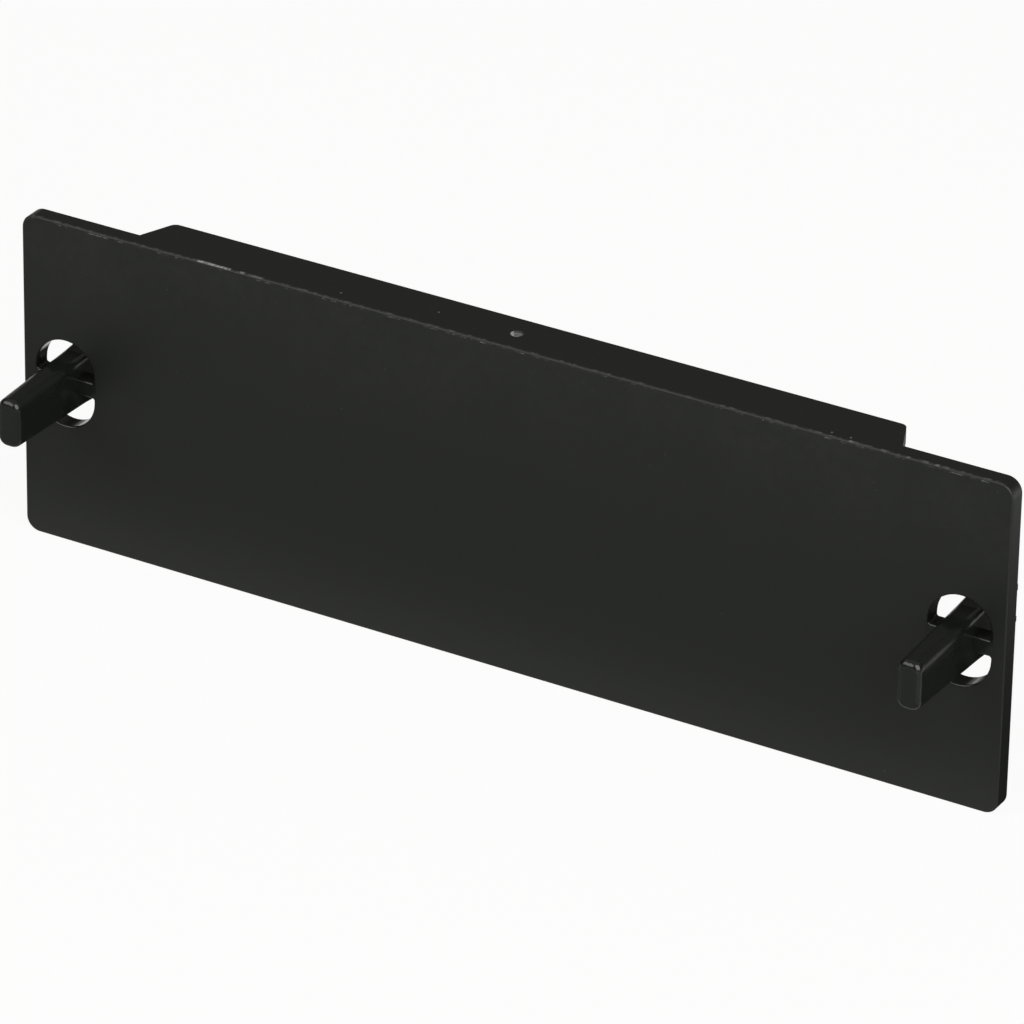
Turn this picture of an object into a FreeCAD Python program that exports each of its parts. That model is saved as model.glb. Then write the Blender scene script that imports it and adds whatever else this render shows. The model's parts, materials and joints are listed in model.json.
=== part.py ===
import FreeCAD, Part
import math
import os
import Sketcher

# A blank panel that closes an unused opening in a fibre patch panel: one black moulding.
# Millimetres. The origin is the middle of the face that lies against the frame, +Y points back
# through the frame, -Y towards the user, +X along the panel and +Z up.

doc = FreeCAD.newDocument("blank_panel")

SIZES = {
    # the flat plate
    "plate_width": 108.0,
    "plate_height": 34.8,
    "plate_thickness": 1.85,
    "corner_radius": 1.5,
    "front_edge_radius": 0.2,
    # the stiffening rib behind the top edge, which starts this far in from each end of the plate,
    # and its twin behind the bottom edge
    "rib_inset": 12.4,
    "rib_end_run": 1.6,
    "rib_depth": 3.9,
    "rib_thickness": 1.6,
    "rib_corner_radius": 0.8,
    # the hole near each end of the plate, and the web across it that carries the latch
    "latch_inset": 4.8,
    "hole_width": 6.6,
    "hole_height": 9.3,
    "web_height": 1.65,
    "web_root": 0.5,
    "window_corner_radius": 0.25,
    # the latch, a blade with rounded corners through the web: its pull tab in front
    "tab_length": 10.3,
    "tab_width": 2.55,
    "tab_height": 5.1,
    "tab_corner_radius": 1.05,
    "tab_edge_radius": 0.7,
    # its root, level with the face that lies against the frame
    "root_width": 2.75,
    "root_height": 5.4,
    # and its split snap arm behind, which swells to a crown and narrows again
    "arm_corner_radius": 0.6,
    "arm_crown": 2.2,
    "arm_spread": 5.8,
    "arm_reach": 7.6,
    "arm_tip_width": 2.65,
    "arm_tip_height": 4.8,
    "arm_tip_radius": 0.25,
    "slot_height": 2.8,
    "slot_root": 2.0,
    "slot_root_radius": 1.0,
    # the mark that the mould's gate left on top of the upper rib
    "gate_diameter": 1.2,
    "gate_depth": 0.15,
}

sheet = doc.addObject("Spreadsheet::Sheet", "Sizes")
for row, (name, value) in enumerate(SIZES.items(), start=1):
    sheet.set(f"A{row}", name)
    sheet.set(f"B{row}", str(value))
    sheet.setAlias(f"B{row}", name)
doc.recompute()

body = doc.addObject("PartDesign::Body", "Body")
body.Label = "blank_panel"
PLANES = {feature.Role: feature for feature in body.Origin.OriginFeatures}
ORIGIN = (-1, 1)
ACROSS = (-1,)
UPRIGHT = (-2,)
TOUCH = 0.001


def measure(expression):
    """The number that an expression on the sheet gives now."""
    return float(sheet.evalExpression(expression))


def sketch_on(name, plane, along=None, raised=None):
    """A sketch on a plane of the body, moved along its own X and raised along its normal."""
    sketch = body.newObject("Sketcher::SketchObject", name)
    sketch.AttachmentSupport = [(PLANES[plane], "")]
    sketch.MapMode = "FlatFace"
    if along:
        sketch.setExpression("AttachmentOffset.Base.x", along)
    if raised:
        sketch.setExpression("AttachmentOffset.Base.z", raised)
    return sketch


def relate(sketch, kind, *places):
    """One geometric constraint between places, each a geometry index or an (index, end) pair."""
    flat = [number for place in places for number in (place if isinstance(place, tuple) else (place,))]
    sketch.addConstraint(Sketcher.Constraint(kind, *flat))


def dimension(sketch, kind, start, end, size):
    """One driving dimension from start to end, bound to an expression on the sheet."""
    index = sketch.addConstraint(Sketcher.Constraint(kind, *start, *end, measure(size)))
    sketch.setExpression(f"Constraints[{index}]", size)


def outline(sketch, corners):
    """A closed run of lines through the corners: line i starts at corner i."""
    points = [FreeCAD.Vector(x, y, 0) for x, y in corners]
    count = len(points)
    for i in range(count):
        sketch.addGeometry(Part.LineSegment(points[i], points[(i + 1) % count]))
    for i in range(count):
        relate(sketch, "Coincident", (i, 2), ((i + 1) % count, 1))


def rectangle(sketch, width, height):
    """A rectangle about the sketch's origin."""
    x = measure(width) / 2
    y = measure(height) / 2
    outline(sketch, [(-x, -y), (x, -y), (x, y), (-x, y)])
    for line, kind in enumerate(("Horizontal", "Vertical", "Horizontal", "Vertical")):
        relate(sketch, kind, line)
    relate(sketch, "Symmetric", (0, 1), (2, 1), ORIGIN)
    dimension(sketch, "DistanceX", (0, 1), (0, 2), width)
    dimension(sketch, "DistanceY", (1, 1), (1, 2), height)


def obround(sketch, width, height):
    """An upright slot with round ends about the sketch's origin."""
    radius = measure(width) / 2
    centre = measure(height) / 2 - radius
    normal = FreeCAD.Vector(0, 0, 1)
    top = Part.Circle(FreeCAD.Vector(0, centre, 0), normal, radius)
    bottom = Part.Circle(FreeCAD.Vector(0, -centre, 0), normal, radius)
    right_low = FreeCAD.Vector(radius, -centre, 0)
    right_high = FreeCAD.Vector(radius, centre, 0)
    left_high = FreeCAD.Vector(-radius, centre, 0)
    left_low = FreeCAD.Vector(-radius, -centre, 0)
    sketch.addGeometry(Part.LineSegment(right_low, right_high))
    sketch.addGeometry(Part.ArcOfCircle(top, 0, math.pi))
    sketch.addGeometry(Part.LineSegment(left_high, left_low))
    sketch.addGeometry(Part.ArcOfCircle(bottom, math.pi, 2 * math.pi))
    relate(sketch, "Tangent", (0, 2), (1, 1))
    relate(sketch, "Tangent", (1, 2), (2, 1))
    relate(sketch, "Tangent", (2, 2), (3, 1))
    relate(sketch, "Tangent", (3, 2), (0, 1))
    relate(sketch, "Vertical", 0)
    relate(sketch, "Equal", 1, 3)
    relate(sketch, "Symmetric", (1, 3), (3, 3), ORIGIN)
    dimension(sketch, "DistanceX", (2, 1), (0, 2), width)
    dimension(sketch, "DistanceY", (3, 3), (1, 3), f"{height} - {width}")


def rounded(sketch, width, height, radius):
    """An upright rectangle with round corners about the sketch's origin."""
    x = measure(width) / 2
    y = measure(height) / 2
    r = measure(radius)
    normal = FreeCAD.Vector(0, 0, 1)
    quarter = math.pi / 2
    corners = [(x - r, y - r), (r - x, y - r), (r - x, r - y), (x - r, r - y)]
    for i, centre in enumerate(corners):
        before = corners[i - 1]
        start = i * quarter
        out = FreeCAD.Vector(math.cos(start), math.sin(start), 0) * r
        side_start = FreeCAD.Vector(*before, 0) + out
        side_end = FreeCAD.Vector(*centre, 0) + out
        circle = Part.Circle(FreeCAD.Vector(*centre, 0), normal, r)
        sketch.addGeometry(Part.LineSegment(side_start, side_end))
        sketch.addGeometry(Part.ArcOfCircle(circle, start, start + quarter))
    for i in range(8):
        relate(sketch, "Tangent", (i, 2), ((i + 1) % 8, 1))
    for line, kind in ((0, "Vertical"), (2, "Horizontal"), (4, "Vertical"), (6, "Horizontal")):
        relate(sketch, kind, line)
    for arc in (3, 5, 7):
        relate(sketch, "Equal", 1, arc)
    relate(sketch, "Symmetric", (1, 3), (5, 3), ORIGIN)
    dimension(sketch, "DistanceX", (4, 1), (0, 1), width)
    dimension(sketch, "DistanceY", (6, 1), (2, 1), height)
    dimension(sketch, "Radius", (1,), (), radius)


def pad(name, sketch, length):
    """The sketch's area raised along its normal."""
    feature = body.newObject("PartDesign::Pad", name)
    feature.Profile = sketch
    feature.setExpression("Length", length)
    doc.recompute()
    return feature


def mirror(name, features, plane):
    """The features again, on the other side of a plane of the body."""
    feature = body.newObject("PartDesign::Mirrored", name)
    feature.Originals = features
    feature.MirrorPlane = (PLANES[plane], [""])
    body.Tip = feature
    doc.recompute()
    return feature


def round_edges(name, radius, wanted):
    """A fillet on the edges of the body so far whose bounding box is wanted."""
    base = body.Tip
    edges = enumerate(base.Shape.Edges, start=1)
    chosen = [f"Edge{number}" for number, edge in edges if wanted(edge.BoundBox)]
    feature = body.newObject("PartDesign::Fillet", name)
    feature.Base = (base, chosen)
    feature.setExpression("Radius", radius)
    doc.recompute()
    return feature


def lies_at(box, y):
    """Whether an edge stays at the depth y."""
    return abs(box.YMin - y) < TOUCH and abs(box.YMax - y) < TOUCH


FRONT = "Sizes.plate_thickness"
TAB_FRONT = "-(Sizes.plate_thickness + Sizes.tab_length)"
RIB_LENGTH = "Sizes.plate_width - 2 * Sizes.rib_inset"
LATCH_X = "Sizes.plate_width / 2 - Sizes.latch_inset"
front_y = -measure(FRONT)

# The plate: a rectangle with rounded corners, drawn on its rear face and raised to the front
plate_sketch = sketch_on("PlateSketch", "XZ_Plane")
rectangle(plate_sketch, "Sizes.plate_width", "Sizes.plate_height")
pad("Plate", plate_sketch, FRONT)
round_edges("PlateCorners", "Sizes.corner_radius", lambda box: box.XLength + box.ZLength < TOUCH)

# The ribs: a low trapezium in plan, flush with the plate's long edge
rib_sketch = sketch_on("RibSketch", "XY_Plane", raised="Sizes.plate_height / 2 - Sizes.rib_thickness")
rib_half = measure(RIB_LENGTH) / 2
rib_rear_half = rib_half - measure("Sizes.rib_end_run")
rib_rear = measure("Sizes.rib_depth")
outline(rib_sketch, [(-rib_half, 0), (rib_half, 0),
                     (rib_rear_half, rib_rear), (-rib_rear_half, rib_rear)])
relate(rib_sketch, "PointOnObject", (0, 1), ACROSS)
relate(rib_sketch, "Symmetric", (0, 1), (0, 2), UPRIGHT)
relate(rib_sketch, "Symmetric", (2, 1), (2, 2), UPRIGHT)
dimension(rib_sketch, "DistanceX", (0, 1), (0, 2), RIB_LENGTH)
dimension(rib_sketch, "DistanceX", (2, 1), (0, 2), "Sizes.rib_end_run")
dimension(rib_sketch, "DistanceY", (0, 2), (2, 1), "Sizes.rib_depth")
top_rib = pad("TopRib", rib_sketch, "Sizes.rib_thickness")
mirror("BottomRib", [top_rib], "XY_Plane")
round_edges("RibCorners", "Sizes.rib_corner_radius",
            lambda box: box.YMin > rib_rear - TOUCH and box.XLength < TOUCH)

# The hole at the right-hand end. The web that crosses it is as thick as the plate and leaves a
# window above it and one below
hole_sketch = sketch_on("HoleSketch", "XZ_Plane", along=LATCH_X, raised=FRONT)
obround(hole_sketch, "Sizes.hole_width", "Sizes.hole_height")
hole = body.newObject("PartDesign::Pocket", "Hole")
hole.Profile = hole_sketch
hole.Type = "ThroughAll"
doc.recompute()
web_sketch = sketch_on("WebSketch", "XZ_Plane", along=LATCH_X)
rectangle(web_sketch, "Sizes.hole_width + 2 * Sizes.web_root", "Sizes.web_height")
web = pad("Web", web_sketch, FRONT)
mirror("LeftWeb", [hole, web], "YZ_Plane")
web_half = measure("Sizes.web_height") / 2
round_edges("WindowCorners", "Sizes.window_corner_radius",
            lambda box: box.XLength + box.ZLength < TOUCH and abs(abs(box.ZMin) - web_half) < TOUCH)
round_edges("FrontEdges", "Sizes.front_edge_radius", lambda box: lies_at(box, front_y))

# The latches: upright blades that pass through the webs. Each narrows from the root to the tip of its
# pull tab, so that it leaves the mould, and swells to a crown behind the plate
def latch_section(name, width, height, radius, y):
    """One section of the right-hand latch, at the depth y."""
    sketch = sketch_on(name, "XZ_Plane", along=LATCH_X, raised=f"-({y})")
    rounded(sketch, f"Sizes.{width}", f"Sizes.{height}", f"Sizes.{radius}")
    return sketch


latch = body.newObject("PartDesign::AdditiveLoft", "Latch")
latch.Profile = latch_section("TabTip", "tab_width", "tab_height", "tab_corner_radius", TAB_FRONT)
latch.Sections = [
    latch_section("LatchRoot", "root_width", "root_height", "arm_corner_radius", "0 mm"),
    latch_section("ArmCrown", "root_width", "arm_spread", "arm_corner_radius", "Sizes.arm_crown"),
    latch_section("ArmTip", "arm_tip_width", "arm_tip_height", "arm_corner_radius", "Sizes.arm_reach"),
]
latch.Ruled = True
doc.recompute()
mirror("LeftLatch", [latch], "YZ_Plane")
tab_front_y = measure(TAB_FRONT)
arm_tip_y = measure("Sizes.arm_reach")
round_edges("TabTips", "Sizes.tab_edge_radius", lambda box: lies_at(box, tab_front_y))

# The slot that splits each snap arm, so that its two halves can close in as they pass the frame
slot_sketch = sketch_on("SlotSketch", "YZ_Plane", raised=LATCH_X)
slot_root_y = measure("Sizes.slot_root")
slot_half = measure("Sizes.slot_height") / 2
outline(slot_sketch, [(slot_root_y, -slot_half), (arm_tip_y, -slot_half),
                      (arm_tip_y, slot_half), (slot_root_y, slot_half)])
for line, kind in enumerate(("Horizontal", "Vertical", "Horizontal")):
    relate(slot_sketch, kind, line)
relate(slot_sketch, "Symmetric", (3, 1), (3, 2), ACROSS)
dimension(slot_sketch, "DistanceX", ORIGIN, (0, 1), "Sizes.slot_root")
dimension(slot_sketch, "DistanceX", ORIGIN, (0, 2), "Sizes.arm_reach")
dimension(slot_sketch, "DistanceY", (1, 1), (1, 2), "Sizes.slot_height")
slot = body.newObject("PartDesign::Pocket", "Slot")
slot.Profile = slot_sketch
slot.SideType = "Symmetric"
slot.setExpression("Length", "2 * Sizes.root_width")
doc.recompute()
mirror("LeftSlot", [slot], "YZ_Plane")
round_edges("SlotRoots", "Sizes.slot_root_radius",
            lambda box: lies_at(box, slot_root_y) and box.ZLength < TOUCH)
round_edges("ArmTips", "Sizes.arm_tip_radius", lambda box: lies_at(box, arm_tip_y))

# The gate mark: a shallow round pit, halfway back on the top edge
gate_sketch = sketch_on("GateSketch", "XY_Plane", raised="Sizes.plate_height / 2")
gate_y = "(Sizes.rib_depth - Sizes.plate_thickness) / 2"
gate_place = FreeCAD.Vector(0, measure(gate_y), 0)
gate_circle = Part.Circle(gate_place, FreeCAD.Vector(0, 0, 1), measure("Sizes.gate_diameter") / 2)
gate_sketch.addGeometry(gate_circle)
relate(gate_sketch, "PointOnObject", (0, 3), UPRIGHT)
dimension(gate_sketch, "DistanceY", ORIGIN, (0, 3), gate_y)
dimension(gate_sketch, "Diameter", (0,), (), "Sizes.gate_diameter")
gate = body.newObject("PartDesign::Pocket", "GateMark")
gate.Profile = gate_sketch
gate.setExpression("Length", "Sizes.gate_depth")
doc.recompute()

# Every feature has to be sound, and every cut has to remove something, before the file is written
for item in doc.Objects:
    if "Invalid" in item.State or "Error" in item.State:
        raise RuntimeError(f"{item.Label} failed: {item.State}")
for cut in (hole, slot, gate):
    if cut.Shape.Volume >= cut.BaseFeature.Shape.Volume:
        raise RuntimeError(f"{cut.Label} cuts nothing")
shape = body.Shape
if shape.isNull() or not shape.isValid() or len(shape.Solids) != 1:
    raise RuntimeError(f"{body.Label} is not one sound solid")

os.makedirs("parts", exist_ok=True)
shape.exportStep(f"parts/{body.Label}.step")
print(body.Label, "volume", round(shape.Volume, 1), "box", shape.BoundBox)
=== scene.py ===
import json
import math

import bpy
from mathutils import Matrix, Vector


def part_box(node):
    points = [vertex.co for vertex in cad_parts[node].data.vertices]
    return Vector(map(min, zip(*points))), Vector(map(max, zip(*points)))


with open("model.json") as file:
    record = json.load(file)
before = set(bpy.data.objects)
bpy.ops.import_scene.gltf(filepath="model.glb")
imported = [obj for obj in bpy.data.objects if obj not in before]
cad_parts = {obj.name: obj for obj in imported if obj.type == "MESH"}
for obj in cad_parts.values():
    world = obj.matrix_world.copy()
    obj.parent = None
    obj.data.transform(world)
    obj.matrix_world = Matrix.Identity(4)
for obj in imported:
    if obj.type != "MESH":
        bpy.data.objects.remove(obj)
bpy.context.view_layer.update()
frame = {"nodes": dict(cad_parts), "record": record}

# The panel: one injection moulding in black plastic. The mould was spark textured for the plate and
# polished for the latches, so the plate is matte and the latches shine. It has been handled: its top
# front edge is rubbed pale in places and also carries painted highlight lines, and a thin film of dust
# with a few specks lies on it, with painted light that makes the film paler towards the top.
panel = frame["nodes"]["blank_panel"]
panel_low, panel_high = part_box("blank_panel")
mounts = {mount["name"]: Vector(mount["pos_m"]) for mount in frame["record"]["mounts"]}

# sizes and places on the panel, in millimetres
MM = 0.001
plate_top = panel_high.z / MM
plate_front = -1.85
edge_radius = 0.2
rib_rear = 3.9
latch_x = mounts["right_latch"].x / MM
hole_half_width = 3.3
hole_half_height = 4.65
tab_tip = panel_low.y / MM
gate_place = (0, (rib_rear + plate_front) / 2, plate_top)
gate_radius = 0.6

PLASTIC = (0.0088, 0.0102, 0.0084, 1)
# pale rubbed plastic, also used for the painted highlight lines on the top front edge
PALE_RUB_AND_GLINT = (0.30, 0.30, 0.285, 1)
# pale dust, also used for the painted light that makes the upper plate paler
DUST_AND_PAINTED_LIGHT = (0.13, 0.13, 0.125, 1)
TORN = (0.165, 0.165, 0.16, 1)
BURR = (0.43, 0.43, 0.42, 1)


class Recipe:
    """The nodes of one tree, added step by step."""

    def __init__(self, tree):
        self.tree = tree

    def feed(self, socket, value):
        """Joins an output to a socket, or sets the socket to a plain value."""
        if isinstance(value, bpy.types.NodeSocket):
            self.tree.links.new(value, socket)
        else:
            socket.default_value = value

    def node(self, kind, inputs=None, **settings):
        """One node with its settings and inputs."""
        made = self.tree.nodes.new(kind)
        for name, value in settings.items():
            setattr(made, name, value)
        for name, value in (inputs or {}).items():
            self.feed(made.inputs[name], value)
        return made

    def axes(self, coordinates):
        """The coordinates' X, Y and Z."""
        made = self.node("ShaderNodeSeparateXYZ", {"Vector": coordinates})
        return [made.outputs[name] for name in "XYZ"]

    def math(self, operation, *values):
        """The result of one sum on numbers or outputs."""
        made = self.node("ShaderNodeMath", operation=operation)
        for socket, value in zip(made.inputs, values):
            self.feed(socket, value)
        return made.outputs[0]

    def times(self, *values):
        """The product of numbers or outputs."""
        product = values[0]
        for value in values[1:]:
            product = self.math("MULTIPLY", product, value)
        return product

    def most(self, *values):
        """The largest of numbers or outputs."""
        largest = values[0]
        for value in values[1:]:
            largest = self.math("MAXIMUM", largest, value)
        return largest

    def fade(self, value, start, end, low=0.0, high=1.0):
        """Low below start and high above end, with a soft change between them."""
        made = self.node("ShaderNodeMapRange", interpolation_type="SMOOTHSTEP")
        limits = {"Value": value, "From Min": start, "From Max": end, "To Min": low, "To Max": high}
        for name, number in limits.items():
            self.feed(made.inputs[name], number)
        return made.outputs["Result"]

    def band(self, value, start, end, soft):
        """One between start and end and zero beyond them, with soft limits."""
        rise = self.fade(value, start - soft, start)
        fall = self.fade(value, end, end + soft, low=1.0, high=0.0)
        return self.times(rise, fall)

    def distance(self, vector, place):
        """How far a point lies from a place."""
        made = self.node("ShaderNodeVectorMath", operation="DISTANCE")
        self.feed(made.inputs[0], vector)
        made.inputs[1].default_value = place
        return made.outputs["Value"]

    def noise(self, vector, scale, detail, roughness):
        """Smooth noise from 0 to 1 about the middle."""
        inputs = {"Vector": vector, "Scale": scale, "Detail": detail, "Roughness": roughness}
        return self.node("ShaderNodeTexNoise", inputs).outputs["Fac"]

    def patches(self, vector, scale, detail, roughness, **limits):
        """Noise that fades from low to high, which leaves uneven patches."""
        return self.fade(self.noise(vector, scale, detail, roughness), **limits)

    def blend(self, share, first, second):
        """A colour that goes from first to second."""
        made = self.node("ShaderNodeMix", data_type="RGBA")
        self.feed(made.inputs[0], share)
        self.feed(made.inputs[6], first)
        self.feed(made.inputs[7], second)
        return made.outputs[2]


plastic = bpy.data.materials.new("moulded_black_plastic")
plastic.use_nodes = True
plastic.node_tree.nodes.clear()
recipe = Recipe(plastic.node_tree)
scaled = recipe.node("ShaderNodeVectorMath", operation="SCALE")
recipe.feed(scaled.inputs[0], recipe.node("ShaderNodeTexCoord").outputs["Object"])
scaled.inputs["Scale"].default_value = 1 / MM
place = scaled.outputs[0]
x, y, z = recipe.axes(place)

# matte is one on the plate, and zero inside the outline of either hole, where the latches are
texture_start = hole_half_width + 0.1
texture_full = hole_half_width + 0.3
side = recipe.math("SUBTRACT", recipe.math("ABSOLUTE", x), latch_x)
end = recipe.math("SUBTRACT", recipe.math("ABSOLUTE", z), hole_half_height - hole_half_width)
end = recipe.most(end, 0.0)
reach = recipe.math("SQRT", recipe.math("ADD", recipe.times(side, side), recipe.times(end, end)))
matte = recipe.fade(reach, texture_start, texture_full)
polished = recipe.math("SUBTRACT", 1.0, matte)

# the rounded top front edge, and two fine pale lines along its limits: painted highlights of the edge,
# broken up in bits where the texture is worn
line_start = 0.1
line_full = 0.16
top_line_faint = 0.03
top_line_pale = 0.26
front_line_pale = 0.35
above = recipe.math("SUBTRACT", z, plate_top - edge_radius)
ahead = recipe.math("SUBTRACT", plate_front + edge_radius, y)
front_line = recipe.times(recipe.band(above, start=-0.1, end=-0.02, soft=0.03),
                          recipe.fade(ahead, line_start, line_full))
top_line = recipe.times(recipe.band(ahead, start=-0.05, end=0.06, soft=0.04),
                        recipe.fade(above, line_start, line_full))
stretches = recipe.patches(place, scale=0.35, detail=3.0, roughness=0.6, start=0.4, end=0.6)
bits = recipe.patches(place, scale=2.0, detail=4.0, roughness=0.7, start=0.5, end=0.6)
glint_and_wear_lines = recipe.most(recipe.times(top_line, recipe.fade(bits, 0.0, 1.0, top_line_faint, top_line_pale)),
                    recipe.times(front_line, bits, stretches, front_line_pale))

# the nicks where that edge is rubbed: from and to along the panel, and how pale
NICKS = ((-33.9, -33.2, 1.0), (-33.0, -30.3, 0.9), (-29.1, -28.7, 0.5), (-27.7, -26.6, 0.25),
         (37.0, 37.3, 0.4), (40.3, 40.7, 0.25), (43.0, 43.2, 0.3), (44.7, 45.1, 0.3),
         (45.9, 46.2, 0.35), (47.0, 47.2, 0.25))
nick_soft = 0.15
nicks = 0.0
for start, stop, pale in NICKS:
    nicks = recipe.most(nicks, recipe.times(recipe.band(x, start, stop, nick_soft), pale))
scuff = recipe.patches(place, scale=3.0, detail=3.0, roughness=0.6, start=0.35, end=0.55, low=0.3)
nicked = recipe.times(recipe.band(ahead, start=-0.1, end=0.12, soft=0.05),
                      recipe.fade(above, start=0.05, end=0.12), nicks, scuff)
# the pale rubbed nicks together with the painted highlight lines
rub_and_glint = recipe.most(glint_and_wear_lines, nicked)

# dust: a mottled film and fine grit, both thicker towards the top of the plate; the film's rise towards
# the top is painted light that makes the upper plate paler
film_and_light_share = 0.022
UNEVEN = {"start": 0.3, "end": 0.7, "low": 0.5, "high": 1.5}
cloud = recipe.patches(place, scale=0.12, detail=5.0, roughness=0.6, **UNEVEN)
mottle = recipe.patches(place, scale=1.3, detail=3.0, roughness=0.7, **UNEVEN)
upright = recipe.fade(ahead, 0.0, edge_radius)
film_and_top_light = recipe.times(recipe.fade(z, 0.0, plate_top, high=film_and_light_share), upright, cloud, mottle, matte)
grit_density = 0.8
grit_growth = 0.06
grit_soft = 0.04
cells = recipe.node("ShaderNodeTexVoronoi", {"Vector": place, "Scale": grit_density, "Randomness": 1.0})
chance = recipe.node("ShaderNodeSeparateColor", {"Color": cells.outputs["Color"]}).outputs[0]
grit_size = recipe.times(recipe.fade(chance, start=0.6, end=1.0), grit_growth)
from_grit = recipe.math("SUBTRACT", cells.outputs["Distance"], grit_size)
grit = recipe.times(recipe.fade(from_grit, 0.0, grit_soft, low=1.0, high=0.0),
                    recipe.fade(z, -plate_top, plate_top, low=0.03, high=0.16), matte)
dust_and_painted_light = recipe.most(film_and_top_light, grit)

# single specks of dust on the front: along the panel and up
SPECKS = ((-37.3, 13.4), (-17.6, 5.9), (-12.8, 11.4), (17.8, 10.7), (24.3, -4.4), (39.7, 13.9),
          (42.1, -16.1), (52.4, 16.4))
speck_radius = 0.13
speck_share = 0.3
for along, upwards in SPECKS:
    from_speck = recipe.distance(place, (along, plate_front, upwards))
    dust_and_painted_light = recipe.most(dust_and_painted_light, recipe.fade(from_speck, 0.0, speck_radius, low=speck_share, high=0.0))

# crumbs of dust on the top edge and the rib: along the panel and back
CRUMBS = ((-8.6, 1.0), (-18.6, -0.4), (34.8, -1.1), (36.8, -1.1))
crumb_radius = 0.15
crumb_core = 0.075
for along, backwards in CRUMBS:
    from_crumb = recipe.distance(place, (along, backwards, plate_top))
    dust_and_painted_light = recipe.most(dust_and_painted_light, recipe.fade(from_crumb, crumb_core, crumb_radius, low=1.0, high=0.0))

# the stub of the gate, where the sprue was twisted off, with a pale burr on its front left
gate_soft = 0.04
burr_inside = gate_radius * 0.7
burr_slant = 1.4
from_gate = recipe.distance(place, gate_place)
torn = recipe.fade(from_gate, gate_radius - gate_soft, gate_radius + gate_soft, low=1.0, high=0.0)
tear = recipe.patches(place, scale=4.0, detail=3.0, roughness=0.6, start=0.35, end=0.6, low=0.5)
torn = recipe.times(torn, tear)
behind_gate = recipe.math("SUBTRACT", y, gate_place[1])
from_burr = recipe.math("ADD", x, recipe.times(behind_gate, burr_slant))
burr = recipe.times(recipe.band(from_gate, burr_inside, gate_radius, soft=0.08),
                    recipe.fade(from_burr, start=-0.6, end=0.1, low=1.0, high=0.0))

# fingers have dulled the upper edges of the tabs and the left edges of their tips, and the arms are
# less polished
pinched_dull = 0.18
tip_dull = 0.5
arm_dull = 0.08
pinch_start = tab_tip + 0.7
tip_start = tab_tip + 0.8
tip_end = tab_tip + 1.0
pinched = recipe.times(recipe.fade(y, pinch_start, tip_end),
                       recipe.fade(y, start=-6.2, end=-4.8, low=pinched_dull, high=0.0),
                       recipe.fade(z, start=0.8, end=1.4))
arm = recipe.fade(y, start=0.05, end=0.3, high=arm_dull)
across_tab = recipe.times(side, recipe.math("SIGN", x))
left_edge = recipe.times(recipe.fade(across_tab, start=-0.7, end=-0.5, low=tip_dull, high=0.0),
                         recipe.band(z, start=-1.6, end=1.3, soft=0.3),
                         recipe.fade(y, tip_start, tip_end, low=1.0, high=0.0))
latch_dull = recipe.times(recipe.most(pinched, arm, left_edge), polished)

# the plate is matte, and its rounded top edge is dull but for the rubbed bits
plate_matte = 0.26
edge_dull = 0.1
edge_start = 0.05
edge = recipe.times(recipe.fade(above, 0.0, edge_start), recipe.fade(ahead, 0.0, edge_start), matte,
                    recipe.fade(bits, 0.0, 1.0, low=edge_dull, high=0.0))
plate_dull = recipe.math("ADD", recipe.times(matte, plate_matte), edge)

# the spark texture itself, and all of it put together
worn_roughness = 0.6
texture_strength = 0.2
texture_depth = 0.03 * MM
grain = recipe.noise(place, scale=6.0, detail=3.0, roughness=0.6)
polish = recipe.fade(grain, start=0.3, end=0.7, low=0.14, high=0.18)
roughness = recipe.math("ADD", recipe.most(latch_dull, plate_dull), polish)
roughness = recipe.most(roughness, recipe.times(recipe.most(rub_and_glint, torn), worn_roughness))
# dust, specks and crumbs, with the film's painted lightening towards the top
colour = recipe.blend(dust_and_painted_light, PLASTIC, DUST_AND_PAINTED_LIGHT)
# the rubbed nicks and the painted highlight lines on the top front edge
colour = recipe.blend(rub_and_glint, colour, PALE_RUB_AND_GLINT)
colour = recipe.blend(torn, colour, TORN)
colour = recipe.blend(burr, colour, BURR)
bump = recipe.node("ShaderNodeBump", {"Height": recipe.times(grain, matte), "Strength": texture_strength,
                                      "Distance": texture_depth})
shader = recipe.node("ShaderNodeBsdfPrincipled", {"Base Color": colour, "Roughness": roughness,
                                                  "Normal": bump.outputs["Normal"]})
recipe.node("ShaderNodeOutputMaterial", {"Surface": shader.outputs["BSDF"]})
panel.material_slots[0].material = plastic

# The floor: a table that is white to the camera and keeps a soft shadow. In reflections it shows
# painted light: a pale sheet in front of the panel, a painted shadow in the panel's lee, and white
# beside and beyond the lee.
# Its sizes, and those of the studio and the camera's place, are in metres.
floor_half = 3.0
floor_z = panel_low.z
floor_mesh = bpy.data.meshes.new("floor")
corners = [(-floor_half, -floor_half), (floor_half, -floor_half),
           (floor_half, floor_half), (-floor_half, floor_half)]
floor_mesh.from_pydata([(a, b, floor_z) for a, b in corners], [], [(0, 1, 2, 3)])
floor = bpy.data.objects.new("floor", floor_mesh)
bpy.context.scene.collection.objects.link(floor)

WHITE = (1, 1, 1, 1)
PAPER = (0.98, 1.0, 0.94, 1)
TABLE = (0.88, 0.88, 0.87, 1)
paper = bpy.data.materials.new("white_paper")
paper.use_nodes = True
paper.node_tree.nodes.clear()
recipe = Recipe(paper.node_tree)
floor_x, floor_y, _ = recipe.axes(recipe.node("ShaderNodeTexCoord").outputs["Object"])

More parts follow.
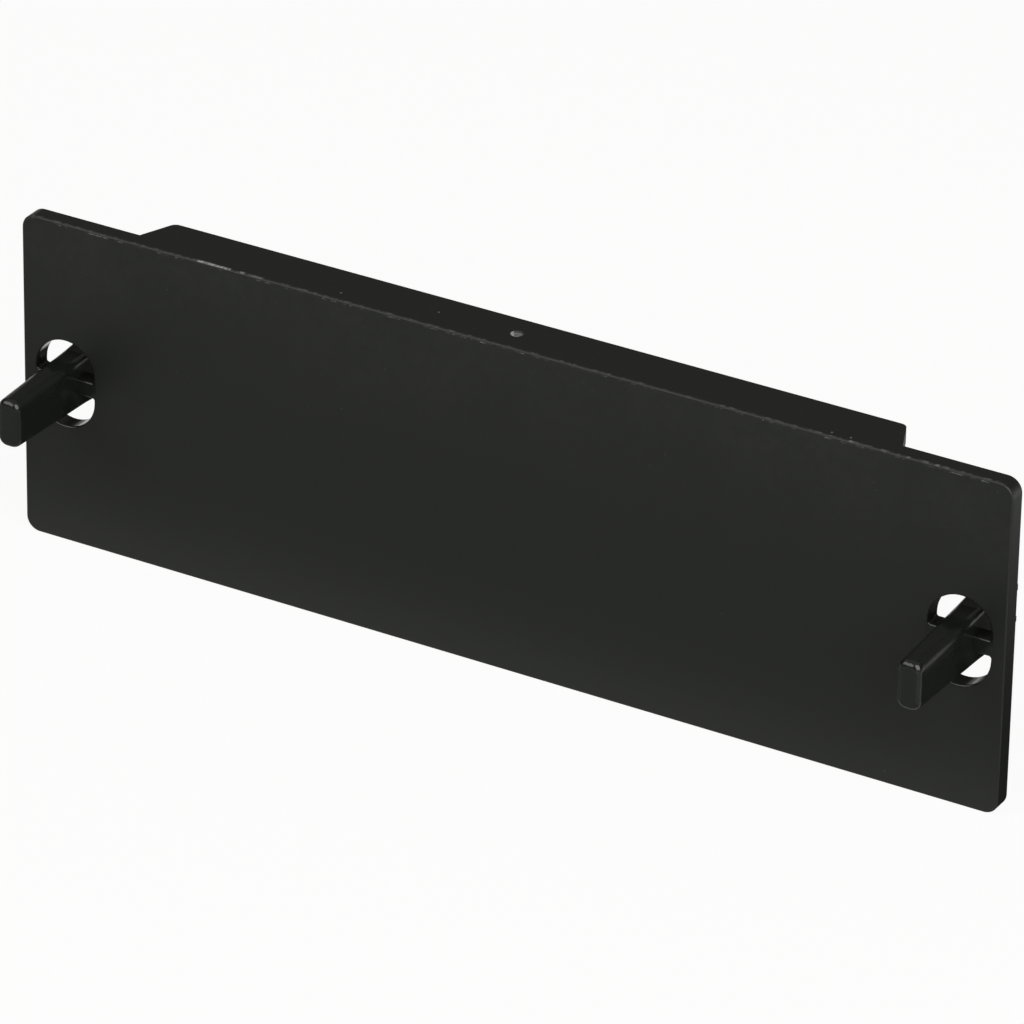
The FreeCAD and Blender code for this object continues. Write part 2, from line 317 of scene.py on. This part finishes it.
# the lee: a painted shadow of the panel that only reflections see, dim at the panel's foot and paler
# away from it
LEE_NEAR = 0.03
LEE_FAR = 0.5
lee_left = -0.05
lee_left_soft = 0.008
lee_right = 0.085
lee_right_soft = 0.055
lee_length = 0.15
lee_length_soft = 0.05
shade_start = 0.02
shade_end = 0.09
painted_lee_shadow = recipe.times(recipe.fade(floor_x, lee_left - lee_left_soft, lee_left),
                   recipe.fade(floor_x, lee_right, lee_right + lee_right_soft, low=1.0, high=0.0),
                   recipe.fade(floor_y, lee_length, lee_length + lee_length_soft, low=1.0, high=0.0))
shade = recipe.fade(floor_y, shade_start, shade_end, LEE_NEAR, LEE_FAR)
behind = recipe.fade(painted_lee_shadow, 0.0, 1.0, low=1.0, high=shade)

# the sheet in front: painted light that only reflections see, paler towards the viewer, at the panel's
# foot and past the panel's right-hand end
SHEET_NEAR = 0.215
SHEET_FAR = 0.32
FOOT = 0.25
RIGHT_GAIN = 1.9
sheet_edge = plate_front * MM
sheet_edge_soft = 0.001
sheet_length = 0.08
foot_length = 0.016
sheet_right = 0.058
sheet_right_soft = 0.012
painted_sheet_light = recipe.fade(floor_y, sheet_edge - sheet_length, sheet_edge, SHEET_FAR, SHEET_NEAR)
foot = recipe.fade(floor_y, sheet_edge - foot_length, sheet_edge, high=FOOT)
gain = recipe.fade(floor_x, sheet_right, sheet_right + sheet_right_soft, low=1.0, high=RIGHT_GAIN)
painted_sheet_light = recipe.times(recipe.math("ADD", painted_sheet_light, foot), gain)
on_sheet = recipe.fade(floor_y, sheet_edge, sheet_edge + sheet_edge_soft, low=1.0, high=0.0)
behind = recipe.times(behind, recipe.math("SUBTRACT", 1.0, on_sheet))
painted_light_level = recipe.math("ADD", recipe.times(painted_sheet_light, on_sheet), behind)

# to the camera the floor is white but for the small share that takes the shadow
white_share = 0.92
path = recipe.node("ShaderNodeLightPath").outputs
mirrored = recipe.most(path["Is Glossy Ray"], path["Is Transmission Ray"])
seen = recipe.most(recipe.times(path["Is Camera Ray"], white_share), mirrored)
# reflections see the painted light levels, while the camera sees plain white
strength = recipe.most(path["Is Camera Ray"], painted_light_level)
tint = recipe.blend(path["Is Camera Ray"], PAPER, WHITE)
matt_white = recipe.node("ShaderNodeBsdfDiffuse", {"Color": TABLE})
lit_white = recipe.node("ShaderNodeEmission", {"Color": tint, "Strength": strength})
mixed = recipe.node("ShaderNodeMixShader")
recipe.feed(mixed.inputs[0], seen)
recipe.feed(mixed.inputs[1], matt_white.outputs[0])
recipe.feed(mixed.inputs[2], lit_white.outputs[0])
recipe.node("ShaderNodeOutputMaterial", {"Surface": mixed.outputs[0]})
floor_mesh.materials.append(paper)

# The studio: two large soft boxes at the front left and the front right, in a dim room with a pale
# backdrop that rises a little above the horizon at the back.
ROOM = (1.0, 0.95, 0.88, 1)
room_level = 0.03
ceiling_level = 0.3
backdrop_level = 0.35
world = bpy.data.worlds.new("studio")
bpy.context.scene.world = world
world.use_nodes = True
world.node_tree.nodes.clear()
recipe = Recipe(world.node_tree)
_, sky_y, sky_z = recipe.axes(recipe.node("ShaderNodeTexCoord").outputs["Generated"])
at_back = recipe.fade(sky_y, start=0.1, end=0.4)
backdrop = recipe.times(recipe.fade(sky_z, start=0.14, end=0.26, low=backdrop_level, high=0.0), at_back)
ceiling = recipe.fade(sky_z, start=0.5, end=0.8, low=room_level, high=ceiling_level)
brightness = recipe.math("ADD", backdrop, ceiling)
room = recipe.node("ShaderNodeBackground", {"Color": ROOM, "Strength": brightness})
recipe.node("ShaderNodeOutputWorld", {"Surface": room.outputs[0]})

# each soft box: its direction from the panel, width, height and brightness
SOFT_BOXES = {"left_box": ((-0.45, -0.65, 0.62), 0.9, 0.6, 2.4),
              "right_box": ((0.66, -0.48, 0.57), 0.7, 0.8, 3.6)}
lamp_distance = 0.9
for name, (heading, width, height, radiance) in SOFT_BOXES.items():
    lamp_data = bpy.data.lights.new(name, "AREA")
    lamp_data.shape = "RECTANGLE"
    lamp_data.size = width
    lamp_data.size_y = height
    lamp_data.energy = radiance * math.pi * width * height
    lamp = bpy.data.objects.new(name, lamp_data)
    bpy.context.scene.collection.objects.link(lamp)
    towards = Vector(heading).normalized()
    turn = towards.to_track_quat("Z", "Y").to_matrix().to_4x4()
    lamp.matrix_world = Matrix.Translation(towards * lamp_distance) @ turn

# The camera: a long lens that looks down on the panel from the right, rolled a little. Its angle, its
# place and its lens, which is in millimetres, were fitted to the panel's outline.
azimuth = math.radians(29.68)
elevation = math.radians(28.13)
roll = math.radians(0.98)
distance = 0.7505
aim = Vector((0.00139, -0.00185, 0.0))
sensor_width = 36
focal_length = 277.4
nearest = 0.01
across = math.cos(elevation)
back = Vector((math.sin(azimuth) * across, -math.cos(azimuth) * across, math.sin(elevation)))
level_right = Vector((math.cos(azimuth), math.sin(azimuth), 0))
level_up = back.cross(level_right)
right = level_right * math.cos(roll) + level_up * math.sin(roll)
up = level_up * math.cos(roll) - level_right * math.sin(roll)
camera_data = bpy.data.cameras.new("camera")
camera_data.sensor_width = sensor_width
camera_data.lens = focal_length
camera_data.clip_start = nearest
camera = bpy.data.objects.new("camera", camera_data)
bpy.context.scene.collection.objects.link(camera)
turn = Matrix((right, up, back)).transposed().to_4x4()
camera.matrix_world = Matrix.Translation(aim + back * distance) @ turn
bpy.context.scene.camera = camera
bpy.context.scene.view_settings.view_transform = "Standard"
